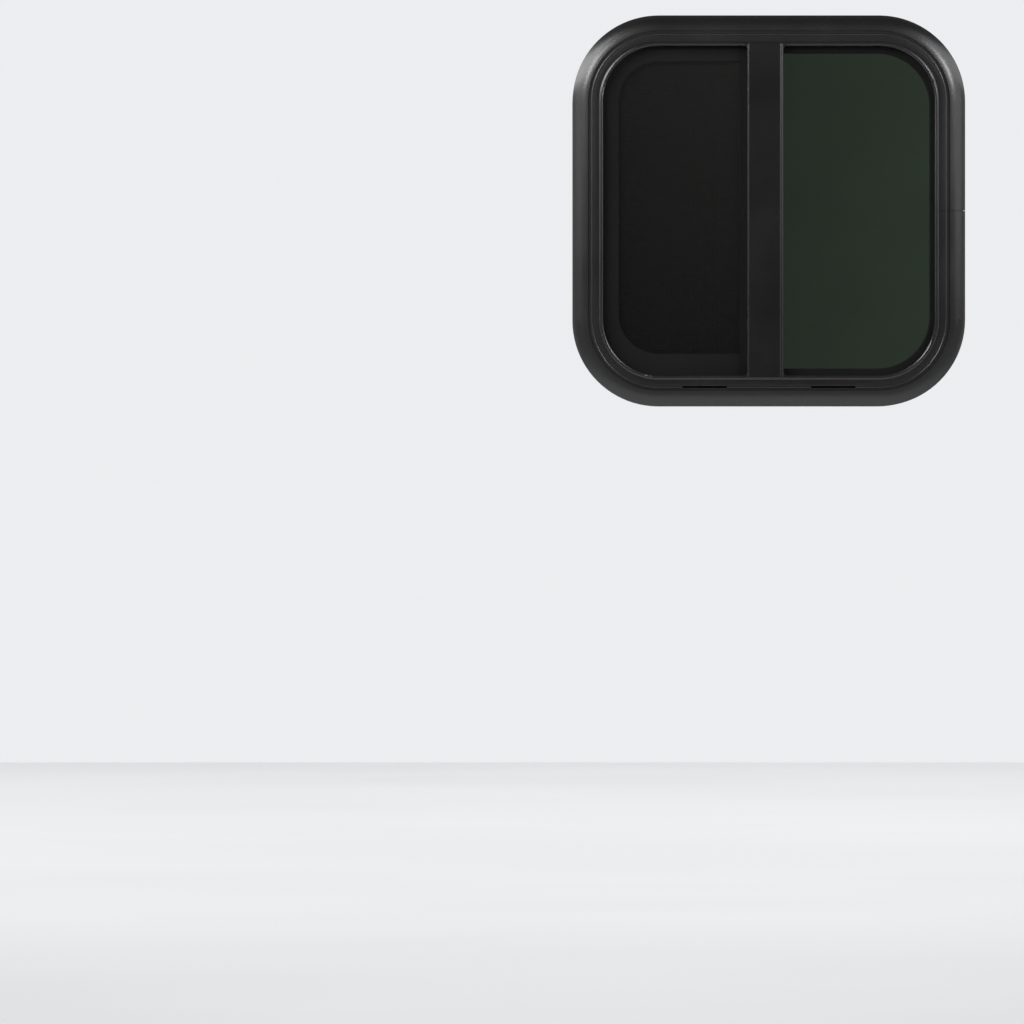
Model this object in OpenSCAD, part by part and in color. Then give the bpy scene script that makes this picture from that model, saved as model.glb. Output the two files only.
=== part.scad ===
/* [Overall] */
// Width across the outer flange
frame_w = 419; // [380:1:760]
// Height over the outer flange
frame_h = 417; // [380:1:610]
// Corner radius of the flange's outer edge
corner_r = 92; // [88:1:110]
// Thickness of the wall that is clamped between the flange and the trim ring
wall_t = 38; // [36:0.5:50]

/* [Frame section] */
// Wall of the frame extrusion
metal_t = 1.7; // [1.5:0.1:2]
// Flange reach, from its outer edge to the body that drops into the wall
flange_w = 17.6; // [16:0.2:22]
// Height of the flange's crown over the wall
crown_h = 6.6; // [6.2:0.1:8]
// Thickness of the flange at its outer edge
edge_h = 1.3; // [1:0.1:2]
// Width of the flat foot under the flange's outer edge
foot_w = 2.4; // [1.6:0.1:4]
// Height of the frame's face band over the wall
face_h = 5.8; // [5.4:0.1:6]
// Depth of the tracks, from their floor to the edge of the daylight opening
track_d = 13.4; // [12:0.2:18]
// Depth of the outer track behind the wall's outer face
reveal_d = 9; // [7:0.5:14]
// Width of the outer track, which holds the fixed pane and the screen
outer_track_w = 8; // [7.6:0.1:9]
// Width of the inner track, which the sliding pane runs in
inner_track_w = 8; // [7.6:0.1:9]
// Width of the fine line between the crown and the face band
groove_w = 0.8; // [0.5:0.1:1.1]
// Radius of the raised bead over the weep slots
ridge_r = 1; // [0.8:0.1:1.2]
// Width of the rounded lip round the daylight opening
lip_w = 4.6; // [3.8:0.1:5.2]
// Width of the screw port that the trim ring is screwed to
port_w = 3; // [2.6:0.1:3.4]
// Gap of the butt joint in the bent frame
joint_gap = 0.4; // [0.2:0.1:0.8]

/* [Weep slots] */
// Length of a weep slot
weep_l = 47.5; // [30:0.5:60]
// Height of a weep slot
weep_h = 2; // [1.5:0.1:2.4]
// Corner radius of a weep slot
weep_corner_r = 0.6; // [0.3:0.1:0.7]
// Radius of the raised rim over a weep slot
weep_rim_r = 0.5; // [0.3:0.1:0.6]
// Distance of each weep slot's middle from the window's middle
weep_x = 68.5; // [45:0.5:75]

/* [Mullion] */
// Width of the mullion's face
mullion_w = 39; // [37:0.5:46]
// Distance of the mullion's middle to the left of the window's middle
mullion_shift = 3.7; // [0:0.1:20]
// Thickness of the mullion's face
mullion_face_t = 1.8; // [1.6:0.1:2.4]
// How far the mullion's face runs over the frame's lip
mullion_lap = 3; // [1.8:0.1:4.5]
// Radius of the fillets where the mullion's face widens over the frame's lip
flare_r = 2.6; // [1.5:0.1:4]
// Radius of the bead along the mullion's glazed edge
mullion_bead_r = 2.4; // [2:0.1:2.8]
// Radius of the small bead along the mullion's screen edge
screen_bead_r = 1.2; // [1:0.1:1.4]
// Depth of the mullion's pocket for the screen, from the edge of the face
screen_pocket = 9.8; // [9.4:0.1:10.6]
// Depth of the mullion's pocket for the fixed pane, from the edge of the face
pane_pocket = 15.8; // [15:0.1:16.2]
// Diameter of the screws that hold the mullion through the frame
mullion_screw_d = 3.9; // [3.5:0.1:4.2]

/* [Glass] */
// Thickness of both panes
glass_t = 4; // [3:0.5:4.5]
// How deep the fixed pane sits in the frame
glass_bite = 8; // [6:0.5:9.5]
// Rubber seen beside the fixed pane
rubber_side = 5; // [3:0.5:8]
// Rubber seen over and under the fixed pane
rubber_top = 7.5; // [4:0.5:10]
// Corner radius of the rubber's inner edge
rubber_corner_r = 56; // [50:1:70]
// Thickness of the rubber under the fixed pane's edge
rubber_t = 2; // [1.5:0.1:2.5]

/* [Insect screen] */
// Width of the screen frame that shows at the side and the top
screen_band = 17; // [13:0.5:20]
// Width of the screen frame that shows at the bottom
screen_band_low = 23.5; // [15:0.5:28]
// Width of the screen frame's stile that shows beside the mullion
screen_band_mullion = 7.5; // [6.5:0.5:12]
// Corner radius of the mesh
screen_corner_r = 42; // [35:1:45]
// How deep the screen frame sits in the outer track
screen_bite = 7.5; // [5:0.5:10]
// Width of the rolled step round the mesh opening
screen_step_w = 1.2; // [0.6:0.1:2]
// Depth of the rolled step
screen_step_d = 1; // [0.5:0.1:2]
// Diameter of the cord that holds the mesh
spline_d = 2.9; // [2.4:0.1:3.2]
// Distance from the mesh opening to the cord's groove
spline_in = 3.5; // [2.5:0.1:3.6]
// Thickness of the mesh
mesh_t = 0.4; // [0.3:0.1:0.6]

/* [Sliding sash] */
// Width of the sash stile
stile_w = 22; // [20:0.5:24]
// Wall of the sash stile
stile_t = 1.2; // [1:0.1:1.5]
// Depth of the finger pull on the sash stile
pull_d = 7; // [5:0.5:9]
// Wall of the pile-lined run at its floor
run_floor_t = 1.5; // [1:0.1:2]
// Length of a stop block at the end of the run
stop_l = 10; // [6:1:16]

/* [Latch] */
// Height of the latch body
latch_h = 62; // [50:1:90]
// Width of the latch body
latch_w = 15; // [14:0.5:17]
// Depth of the latch body
latch_d = 8; // [6.5:0.5:12]
// Height of the latch bolt
bolt_h = 12; // [8:1:16]
// Thickness of the latch bolt
bolt_t = 4.4; // [3.5:0.1:4.8]

/* [Trim ring] */
// Thickness of the trim ring's metal
ring_t = 1.6; // [1.2:0.1:2]
// How far the screwed lip stands inside the wall's room face
ring_set = 4; // [3:0.5:4.5]
// Radius of the bead round the trim ring's outer edge
ring_bead_r = 1.8; // [1.6:0.1:2.4]
// Diameter of the screw holes in the trim ring
screw_hole_d = 4.4; // [4:0.1:5]
// Distance from the middle screw of each side to the next one
screw_pitch = 75; // [50:1:90]
// Gap of the trim ring's butt joint
ring_gap = 0.6; // [0.3:0.1:1]

/* [Clearances] */
// Clearance between pieces that slide, or that seat on a curve
seat_gap = 0.3; // [0.2:0.05:0.4]

/* [Hidden] */
$fn = 96;

// Everything is drawn lying on its back: x to the right, y up the window, and z outwards from
// the wall's outer face. stand() turns it upright, with the outside towards -Y.
// A section is drawn with x as the distance inwards from the flange's outer edge.

// Distances inwards from the flange's outer edge
body_s = flange_w;
floor_s = body_s + metal_t;
lip_s = floor_s + track_d;
crest_s = body_s - 1.1;
ridge_s = floor_s + ridge_r;
port_s = floor_s + 3.7;
line_s = lip_s - lip_w - 0.3;

// Levels, from the outside to the room
lip_z = crown_h;
outer_z = -reveal_d;
divider_z = outer_z - outer_track_w;
inner_z = divider_z - metal_t;
back_z = inner_z - inner_track_w;
frame_back_z = back_z - metal_t;
ring_lip_z = -(wall_t - ring_set);
ring_z = -wall_t;
pane_z = outer_z - (outer_track_w + glass_t) / 2;
sash_z = inner_z - (inner_track_w + glass_t) / 2;

// Size of the outline at a distance inwards from the flange's outer edge
function wide(s) = frame_w - 2 * s;
function high(s) = frame_h - 2 * s;
function bend(s) = corner_r - s;

module stand() rotate([90, 0, 0]) children();

// One bent corner of a section
module elbow(w, h, r)
    translate([w / 2 - r, h / 2 - r, 0])
        rotate_extrude(angle = 90)
            translate([r, 0]) mirror([1, 0]) children();

// A straight run of a section along the top
module top_run(h, from, to)
    translate([from, h / 2, 0]) rotate([90, 0, 90])
        linear_extrude(to - from) mirror([1, 0]) children();

// A straight run of a section down the right side
module side_run(w, from, to)
    translate([w / 2, to, 0]) rotate([90, 0, 0])
        linear_extrude(to - from) mirror([1, 0]) children();

// The right side, its two corners and the top and bottom back to x = from
module bow(w, h, r, from = 0) {
    side_run(w, -(h / 2 - r), h / 2 - r) children();
    for (flip = [0, 1])
        mirror([0, flip, 0]) {
            elbow(w, h, r) children();
            if (from < w / 2 - r)
                top_run(h, from, w / 2 - r) children();
        }
}

// A section bent all the way round
module ring(w, h, r)
    for (flip = [0, 1])
        mirror([flip, 0, 0]) bow(w, h, r) children();

// A flat sheet from x = from to x = to, with its far corners rounded
module pane(from, to, h, r, t) {
    translate([from, -h / 2, 0]) cube([to - r - from, h, t]);
    translate([to - r - 1, r - h / 2, 0]) cube([r + 1, h - 2 * r, t]);
    for (flip = [0, 1])
        mirror([0, flip, 0])
            translate([to - r, h / 2 - r, 0])
                rotate_extrude(angle = 90) square([r, t]);
}

// A box given by its corners
module block(low, high) translate(low) cube(high - low);

// A rectangle given by its corners
module patch(low, high) translate(low) square(high - low);

// Section of the frame extrusion

crown_drop = crown_h - edge_h;
crown_r = (crest_s * crest_s + crown_drop * crown_drop) / (2 * crown_drop);
band_from = ridge_s + ridge_r + 0.3;
band_to = line_s - 0.3;
band_rise = 0.12;
band_r = (pow((band_to - band_from) / 2, 2) + band_rise * band_rise) / (2 * band_rise);
fin_t = 1.3;
root_t = 2.4;
line_depth = 0.6;
lip_rise = lip_z - face_h;
lip_r = (pow(lip_w / 2, 2) + lip_rise * lip_rise) / (2 * lip_rise);
lip_mid_s = lip_s - lip_w / 2;
lip_ease_z = face_h - 0.5;

module crown_section() {
    intersection() {
        difference() {
            translate([crest_s, crown_h - crown_r]) circle(crown_r);
            translate([crest_s, crown_h - crown_r]) circle(crown_r - metal_t);
        }
        square([crest_s, crown_h + 1]);
    }
    square([foot_w, edge_h]);
    patch([crest_s - 1.5, face_h - line_depth - root_t], [floor_s, face_h - line_depth]);
}

module face_section() {
    difference() {
        patch([crest_s, face_h - metal_t], [lip_s - metal_t, face_h]);
        patch([crest_s, face_h - line_depth], [crest_s + groove_w, face_h + 1]);
        patch([line_s - 0.3, face_h - line_depth], [line_s + 0.3, face_h + 1]);
    }
    translate([ridge_s, face_h]) circle(ridge_r);
    intersection() {
        translate([(band_from + band_to) / 2, face_h + band_rise - band_r]) circle(band_r);
        patch([band_from, face_h - 0.5], [band_to, face_h + 1]);
    }
    lip_section();
}

// A broad low arc, with its inner edge eased at a steeper angle
module lip_section()
    intersection() {
        translate([lip_mid_s, lip_z - lip_r]) circle(lip_r);
        polygon([
            [lip_s - lip_w, face_h - metal_t],
            [lip_s, face_h - metal_t],
            [lip_s, lip_ease_z],
            [lip_s - (lip_z + 1 - lip_ease_z) * tan(30), lip_z + 1],
            [lip_s - lip_w, lip_z + 1]
        ]);
    }

module track_section() {
    patch([body_s, frame_back_z], [floor_s, face_h - line_depth]);
    patch([lip_s - metal_t, outer_z], [lip_s, lip_ease_z]);
    for (z = [outer_z, divider_z - metal_t, back_z - metal_t])
        patch([floor_s - 0.5, z], [lip_s, z + metal_t]);
    for (s = [port_s - fin_t, port_s + port_w])
        patch([s, ring_lip_z + seat_gap], [s + fin_t, frame_back_z + 0.5]);
}

module frame_section() {
    crown_section();
    face_section();
    track_section();
}

weep_low_y = -(frame_h / 2 - floor_s);
weep_land = 0.15;

// A weep slot, punched through the face band from outdoors
module weep_slot()
    translate([0, weep_low_y + weep_h / 2, outer_z - 1])
        linear_extrude(reveal_d + crown_h + 3) {
            square([weep_l, weep_h - 2 * weep_corner_r], center = true);
            square([weep_l - 2 * weep_corner_r, weep_h], center = true);
            for (x = [-1, 1], y = [-1, 1])
                translate([x * (weep_l / 2 - weep_corner_r), y * (weep_h / 2 - weep_corner_r)])
                    circle(weep_corner_r);
        }

// The rim that the punch raises along the slot's upper edge
module weep_rim()
    mirror([0, 1, 0])
        top_run(frame_h, weep_corner_r - weep_l / 2, weep_l / 2 - weep_corner_r)
            translate([floor_s + weep_h + weep_rim_r + weep_land, face_h]) circle(weep_rim_r);

// The holes for the screws that hold the mullion's ends
module mullion_screw_holes()
    for (flip = [0, 1], x = screw_boss_x)
        mirror([0, flip, 0])
            translate([mullion_x + x, frame_h / 2 - lip_s - 1, screw_boss_z])
                rotate([-90, 0, 0])
                    cylinder(d = mullion_screw_d + seat_gap, h = lip_s - body_s + 2);

module outer_frame()
    color([0.13, 0.13, 0.135])
        difference() {
            union() {
                ring(frame_w, frame_h, corner_r) frame_section();
                for (side = [-1, 1])
                    translate([side * weep_x, 0, 0]) weep_rim();
            }
            for (side = [-1, 1])
                translate([side * weep_x, 0, 0]) weep_slot();
            mullion_screw_holes();
            block([frame_w / 2 - lip_s - 2, -joint_gap / 2, ring_lip_z - 1],
                  [frame_w / 2 + 1, joint_gap / 2, crown_h + 3]);
        }

splice_l = 60;
splice_t = 1.6;

module frame_splice()
    color([0.55, 0.56, 0.58])
        block([frame_w / 2 - floor_s - splice_t, -splice_l / 2, back_z + seat_gap],
              [frame_w / 2 - floor_s, splice_l / 2, inner_z - seat_gap]);

filter_side = 4;

module weep_filter(side)
    color([0.08, 0.08, 0.08])
        block([side * weep_x - weep_l / 2 - filter_side, weep_low_y + weep_h + seat_gap,
               outer_z + metal_t],
              [side * weep_x + weep_l / 2 + filter_side, weep_low_y + track_d - metal_t,
               lip_z - 2 * metal_t - seat_gap]);

// Mullion. Its places across are distances from its own middle.

mullion_x = -mullion_shift;
mullion_left = -mullion_w / 2;
mullion_right = mullion_w / 2;
mullion_h = high(lip_s) - 2 * seat_gap;
mullion_face_z = lip_z + seat_gap;
leg_right = mullion_right - mullion_bead_r;
box_left = mullion_left + screen_pocket;
box_right = mullion_right - pane_pocket;
end_gap = 0.8;
screw_boss_r = 2.9;
thread_bite = 0.5;
screw_boss_x = [mullion_left + 8, leg_right - 8];
screw_boss_z = outer_z + metal_t + screw_boss_r - 0.5;
mullion_back_z = divider_z - metal_t;
pile_w = 3;
pile_wall_t = 1;
pile_depth = 3.2;
pile_x = box_left + metal_t + pile_wall_t;
bolt_x = box_right - metal_t - bolt_t / 2 - 2 * seat_gap;

module mullion_section() {
    difference() {
        patch([mullion_left, outer_z], [leg_right, mullion_face_z]);
        patch([mullion_left + metal_t, outer_z + metal_t],
              [leg_right - metal_t, mullion_face_z - 0.5]);
    }
    difference() {
        patch([box_left, mullion_back_z], [box_right, outer_z + 0.5]);
        patch([box_left + metal_t, divider_z], [box_right - metal_t, outer_z]);
        patch([pile_x, mullion_back_z - 1], [pile_x + pile_w, divider_z + 1]);
    }
    difference() {
        patch([pile_x - pile_wall_t, mullion_back_z],
              [pile_x + pile_w + pile_wall_t, mullion_back_z + pile_depth + pile_wall_t]);
        patch([pile_x, mullion_back_z - 1], [pile_x + pile_w, mullion_back_z + pile_depth]);
    }
    patch([mullion_left + 2, mullion_back_z], [box_left + metal_t, divider_z]);
    patch([box_right - metal_t, mullion_back_z], [leg_right, divider_z]);
    for (x = screw_boss_x)
        translate([x, screw_boss_z]) screw_boss();
}

// An open ring inside the mullion that the screws through the frame bite into
module screw_boss()
    difference() {
        circle(screw_boss_r);
        circle(d = mullion_screw_d - thread_bite);
        patch([-0.7, 0], [0.7, screw_boss_r + 1]);
    }

edge_round = 0.8;
flare_ease = 0.5;
screen_bead_rise = 0.3;
screen_line_w = 0.5;
screen_line_depth = 0.5;

module mullion_face_section() {
    top_z = mullion_face_z + mullion_face_t;
    bead_x = mullion_left + screen_bead_r;
    bead_z = top_z + screen_bead_rise - screen_bead_r;
    line_x = bead_x + screen_bead_r;
    difference() {
        patch([bead_x, mullion_face_z], [leg_right, top_z]);
        patch([line_x, top_z - screen_line_depth], [line_x + screen_line_w, top_z + 1]);
    }
    patch([mullion_left, mullion_face_z], [bead_x, bead_z]);
    intersection() {
        translate([bead_x, bead_z]) circle(screen_bead_r);
        patch([mullion_left, mullion_face_z], [line_x, top_z + 1]);
    }
    translate([leg_right, mullion_face_z]) circle(mullion_bead_r);
}

module up_the_window(l) translate([mullion_x, l / 2, 0]) rotate([90, 0, 0])
    linear_extrude(l) children();

// The face's end from the side: x is the distance past the edge of the frame's lip
module mullion_end_section() {
    round_x = mullion_lap - edge_round;
    round_z = mullion_face_z + mullion_face_t - edge_round;
    patch([-flare_r, mullion_face_z], [round_x, mullion_face_z + mullion_face_t]);
    patch([round_x - edge_round, mullion_face_z], [mullion_lap, round_z]);
    translate([round_x, round_z]) circle(edge_round);
}

// The face widens with two fillets where it runs over the frame's lip
module mullion_end()
    difference() {
        translate([mullion_left - flare_r, high(lip_s) / 2, 0]) rotate([90, 0, 90])
            linear_extrude(mullion_w + 2 * flare_r) mullion_end_section();
        for (x = [mullion_left - flare_r, mullion_right + flare_r])
            translate([x, high(lip_s) / 2 - flare_r, mullion_face_z]) {
                translate([0, 0, -1]) cylinder(r = flare_r, h = mullion_face_t + 2);
                translate([0, 0, mullion_face_t - flare_ease])
                    cylinder(r1 = flare_r, r2 = flare_r + 2 * flare_ease, h = 2 * flare_ease);
            }
    }

module mullion()
    color([0.115, 0.115, 0.12]) {
        difference() {
            up_the_window(mullion_h) mullion_section();
            translate([mullion_x, 0, 0])
                block([bolt_x - bolt_t / 2 - seat_gap, -bolt_h / 2 - seat_gap, mullion_back_z - 1],
                      [bolt_x + bolt_t / 2 + seat_gap, bolt_h / 2 + seat_gap, divider_z + 1]);
        }
        difference() {
            up_the_window(high(lip_s) + 2 * (mullion_lap - edge_round)) mullion_face_section();
            for (flip = [0, 1])
                mirror([0, flip, 0])
                    translate([mullion_x, 0, 0])
                        block([mullion_left - 1, mullion_h / 2, mullion_face_z - mullion_bead_r - 1],
                              [mullion_right + 1, frame_h / 2, mullion_face_z]);
        }
        for (flip = [0, 1])
            mirror([0, flip, 0]) translate([mullion_x, 0, 0]) mullion_end();
    }

sash_front_z = mullion_back_z - seat_gap;

module mullion_pile()
    color([0.2, 0.2, 0.21])
        up_the_window(mullion_h - 4)
            patch([pile_x + 0.1, sash_front_z + 0.1],
                  [pile_x + pile_w - 0.1, mullion_back_z + pile_depth - 0.1]);

// Fixed pane

pane_left = mullion_x + box_right + rubber_t + 2 * seat_gap;
pane_s = lip_s - glass_bite;
rubber_s = pane_s - seat_gap - rubber_t;
daylight_right = frame_w / 2 - lip_s - rubber_side;
daylight_h = high(lip_s) - 2 * rubber_top;
rubber_slope = 1.4;

module fixed_glass()
    color([0.1, 0.13, 0.11, 0.6])
        translate([0, 0, pane_z])
            pane(pane_left, wide(pane_s) / 2, high(pane_s), bend(pane_s), glass_t);

module fixed_rubber_section()
    difference() {
        patch([rubber_s, divider_z], [lip_s + 0.6, outer_z]);
        patch([rubber_s + rubber_t, pane_z], [lip_s + 1, pane_z + glass_t]);
    }

module fixed_rubber_edge_section()
    polygon([
        [-rubber_slope - 0.5, pane_z + glass_t],
        [0, pane_z + glass_t],
        [0, pane_z + glass_t + 0.4],
        [-rubber_slope, outer_z],
        [-rubber_slope - 0.5, outer_z]
    ]);

module fixed_glass_rubber()
    color([0.04, 0.04, 0.04]) {
        face_left = mullion_x + leg_right + seat_gap;
        bow(frame_w, frame_h, corner_r, pane_left) fixed_rubber_section();
        difference() {
            translate([0, 0, pane_z + glass_t])
                pane(face_left, wide(lip_s) / 2, high(lip_s), bend(lip_s),
                     outer_z - pane_z - glass_t);
            translate([0, 0, pane_z])
                pane(face_left - 1, daylight_right + rubber_slope, daylight_h + 2 * rubber_slope,
                     rubber_corner_r + rubber_slope, outer_z - pane_z + 1);
        }
        bow(2 * daylight_right, daylight_h, rubber_corner_r, face_left)
            fixed_rubber_edge_section();
    }

module mullion_glazing_rubber()
    color([0.04, 0.04, 0.04])
        up_the_window(mullion_h - 2 * end_gap)
            difference() {
                patch([box_right, divider_z], [leg_right, outer_z]);
                patch([box_right + rubber_t, pane_z], [leg_right + 1, pane_z + glass_t]);
            }

// Insect screen, drawn as its mirror image: x is the distance to the left

screen_t = outer_track_w - 2 * seat_gap;
screen_z = divider_z + seat_gap;
screen_s = lip_s - screen_bite;
screen_right = -mullion_x - box_left + 2 * seat_gap;
mesh_left = frame_w / 2 - lip_s - screen_band;
mesh_right = -mullion_x - mullion_left + screen_band_mullion;
mesh_top = high(lip_s) / 2 - screen_band;
mesh_low = -(high(lip_s) / 2 - screen_band_low);
mesh_h = mesh_top - mesh_low;
mesh_y = (mesh_top + mesh_low) / 2;
groove_d = spline_d + 2 * seat_gap;

// The channel on the room side that the cord is pressed into
module spline_channel(width, depth) {
    off = spline_in + (groove_d - width) / 2;
    translate([0, mesh_y, 0]) {
        bow(2 * mesh_left, mesh_h, screen_corner_r, mesh_right - off)
            patch([-off - width, screen_z - 1], [-off, screen_z + depth]);
        block([mesh_right - off - width, -mesh_h / 2 - off - width, screen_z - 1],
              [mesh_right - off, mesh_h / 2 + off + width, screen_z + depth]);
    }
}

// The step that is rolled round the mesh opening, seen from outdoors
module screen_step()
    translate([0, mesh_y, screen_z + screen_t - screen_step_d])
        pane(mesh_right - screen_step_w, mesh_left + screen_step_w, mesh_h + 2 * screen_step_w,
             screen_corner_r + screen_step_w, screen_step_d + 1);

module screen_rails()
    difference() {
        translate([0, 0, screen_z])
            pane(screen_right, wide(screen_s) / 2, high(screen_s), bend(screen_s), screen_t);
        translate([0, mesh_y, screen_z - 1])
            pane(screen_right - 1, mesh_left, mesh_h, screen_corner_r, screen_t + 2);
        screen_step();
        spline_channel(groove_d, groove_d);
    }

module to_the_left() mirror([1, 0, 0]) children();

module screen_frame()
    color([0.1, 0.1, 0.1])
        to_the_left() screen_rails();

module screen_stile()
    color([0.1, 0.1, 0.1])
        to_the_left()
            difference() {
                translate([0, mesh_y, 0])
                    block([screen_right, -mesh_h / 2, screen_z], [mesh_right, mesh_h / 2, screen_z + screen_t]);
                screen_step();
                spline_channel(groove_d, groove_d);
            }

module screen_spline()
    color([0.05, 0.05, 0.05])
        to_the_left()
            intersection() {
                spline_channel(spline_d, groove_d - seat_gap);
                translate([0, 0, screen_z + 0.1])
                    pane(screen_right, wide(screen_s) / 2, high(screen_s), bend(screen_s), screen_t);
            }

mesh_lap = spline_in - 0.5;

module screen_mesh()
    color([0.16, 0.16, 0.16])
        to_the_left()
            translate([0, mesh_y, screen_z - mesh_t])
                pane(mesh_right - mesh_lap, mesh_left + mesh_lap, mesh_h + 2 * mesh_lap,
                     screen_corner_r + mesh_lap, mesh_t);

// Sliding sash. The stile's places across are distances from the mullion's middle.

run_floor_s = floor_s + run_floor_t;
sash_s = run_floor_s + seat_gap;
run_wall_t = (inner_track_w - glass_t) / 2 - seat_gap;
stile_right = box_right + 0.2;
stile_left = stile_right - stile_w;
sash_edge = box_left + metal_t + pile_w;
sash_glass_right = mullion_x + sash_edge;
stile_h = high(lip_s) - 2 * end_gap;
sash_rubber_t = 1.2;
stile_back_in_z = sash_z - sash_rubber_t;
stile_back_z = stile_back_in_z - metal_t;

module sliding_glass()
    color([0.1, 0.12, 0.11, 0.6])
        to_the_left()
            translate([0, 0, sash_z])
                pane(-sash_glass_right, wide(sash_s) / 2, high(sash_s), bend(sash_s), glass_t);

module stile_section() {
    difference() {
        patch([stile_left, stile_back_z], [stile_right, sash_front_z]);
        patch([stile_left - 1, stile_back_in_z], [stile_right - stile_t, sash_front_z - stile_t]);
    }
    patch([stile_left, stile_back_z - pull_d], [stile_left + metal_t, stile_back_z + 0.5]);
    translate([stile_left + metal_t, stile_back_z - pull_d]) circle(metal_t);
}

module sash_stile()
    color([0.115, 0.115, 0.12])
        difference() {
            up_the_window(stile_h) stile_section();
            translate([mullion_x, 0, 0])
                block([bolt_x - bolt_t / 2 - seat_gap, -bolt_h / 2 - seat_gap, stile_back_z - 1],
                      [bolt_x + bolt_t / 2 + seat_gap, bolt_h / 2 + seat_gap, sash_front_z + 1]);
        }

module sash_glazing_rubber()
    color([0.04, 0.04, 0.04])
        up_the_window(stile_h)
            patch([stile_left, stile_back_in_z], [sash_edge - seat_gap, sash_z]);

guide_stem_l = 18;

module sash_guide()
    translate([mullion_x, 0, 0]) {
        block([sash_edge + seat_gap, stile_h / 2 - guide_stem_l, stile_back_in_z + seat_gap],
              [stile_right - stile_t - seat_gap, stile_h / 2, sash_front_z - stile_t - seat_gap]);
        block([sash_edge + seat_gap, stile_h / 2, sash_z],
              [stile_right, high(sash_s) / 2, sash_z + glass_t]);
    }

module sash_guide_upper() color([0.07, 0.07, 0.07]) sash_guide();
module sash_guide_lower() color([0.07, 0.07, 0.07]) mirror([0, 1, 0]) sash_guide();

module run_section()
    difference() {
        patch([floor_s, back_z], [lip_s - 1, inner_z]);
        patch([run_floor_s, back_z + run_wall_t], [lip_s, inner_z - run_wall_t]);
    }

bend_x = frame_w / 2 - corner_r;

module glass_run_side()
    color([0.05, 0.05, 0.05])
        to_the_left() bow(frame_w, frame_h, corner_r, bend_x) run_section();

module glass_run()
    top_run(frame_h, -bend_x, bend_x) run_section();

module glass_run_upper() color([0.05, 0.05, 0.05]) glass_run();
module glass_run_lower() color([0.05, 0.05, 0.05]) mirror([0, 1, 0]) glass_run();

module slide_stop()
    block([bend_x - stop_l, frame_h / 2 - lip_s + 1, sash_z],
          [bend_x, frame_h / 2 - run_floor_s, sash_z + glass_t]);

module slide_stop_upper() color([0.05, 0.05, 0.05]) slide_stop();
module slide_stop_lower() color([0.05, 0.05, 0.05]) mirror([0, 1, 0]) slide_stop();

// Latch

latch_mid = (stile_left + metal_t * 2 + stile_right) / 2;
slider_w = latch_w - 6;
slider_h = latch_h * 0.4;
slider_rise = 2.5;
slider_travel = 8;
bolt_head_z = stile_back_z - 3;

module latch_outline(w, h) {
    square([w, h - w], center = true);
    for (end = [-1, 1])
        translate([0, end * (h - w) / 2]) circle(d = w);
}

module latch_body()
    color([0.06, 0.06, 0.06])
        translate([mullion_x + latch_mid, 0, stile_back_z])
            difference() {
                union() {
                    translate([0, 0, -latch_d + 2]) linear_extrude(latch_d - 2)
                        latch_outline(latch_w, latch_h);
                    translate([0, 0, -latch_d]) linear_extrude(2)
                        latch_outline(latch_w - 3, latch_h - 3);
                }
                translate([0, 0, -latch_d - 1]) linear_extrude(3)
                    latch_outline(slider_w + 2 * seat_gap, slider_h + slider_travel);
                translate([bolt_x - latch_mid, 0, 0])
                    block([-bolt_t / 2 - seat_gap, -bolt_h / 2 - seat_gap, -3 - seat_gap],
                          [bolt_t / 2 + seat_gap, bolt_h / 2 + seat_gap, 1]);
            }

module latch_slider()
    color([0.09, 0.09, 0.09])
        translate([mullion_x + latch_mid, 0, stile_back_z - latch_d - slider_rise])
            difference() {
                linear_extrude(slider_rise + 2) latch_outline(slider_w, slider_h);
                for (rib = [-2:2])
                    translate([-slider_w, rib * 2.4 - 0.5, -1]) cube([2 * slider_w, 1, 1.8]);
            }

module latch_bolt()
    color([0.6, 0.6, 0.62])
        translate([mullion_x + bolt_x, 0, 0])
            block([-bolt_t / 2, -bolt_h / 2, bolt_head_z], [bolt_t / 2, bolt_h / 2, divider_z - 0.1]);

// Trim ring

ring_lip_s = lip_s - 1.2;
ring_step_s = body_s + 0.6;
screw_s = port_s + port_w / 2;
corner_screw = (corner_r - screw_s) * sqrt(0.5);

module ring_section() {
    patch([ring_bead_r, ring_z - ring_t], [ring_step_s + ring_t, ring_z]);
    translate([ring_bead_r, ring_z - ring_bead_r]) circle(ring_bead_r);
    patch([ring_step_s, ring_z - ring_t], [ring_step_s + ring_t, ring_lip_z]);
    patch([ring_step_s, ring_lip_z - ring_t], [ring_lip_s, ring_lip_z]);
    translate([ring_lip_s, ring_lip_z - ring_t]) circle(ring_t);
}

module ring_screws() {
    side_x = frame_w / 2 - screw_s;
    side_y = frame_h / 2 - screw_s;
    for (flip = [-1, 1]) {
        for (i = [-1, 0, 1]) {
            translate([i * screw_pitch, flip * side_y, 0]) children();
            translate([flip * side_x, i * screw_pitch, 0]) children();
        }
        for (turn = [-1, 1])
            translate([flip * (frame_w / 2 - corner_r + corner_screw),
                       turn * (frame_h / 2 - corner_r + corner_screw), 0])
                children();
    }
}

module trim_ring()
    color([0.12, 0.12, 0.125])
        difference() {
            ring(frame_w, frame_h, corner_r) ring_section();
            ring_screws()
                translate([0, 0, ring_lip_z - ring_t - 1])
                    cylinder(d = screw_hole_d, h = ring_t + 2);
            block([screw_pitch / 2 - ring_gap / 2, -frame_h / 2 - 1, ring_z - ring_bead_r * 2 - 1],
                  [screw_pitch / 2 + ring_gap / 2, -frame_h / 2 + lip_s + 2, ring_lip_z + 1]);
        }

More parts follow.
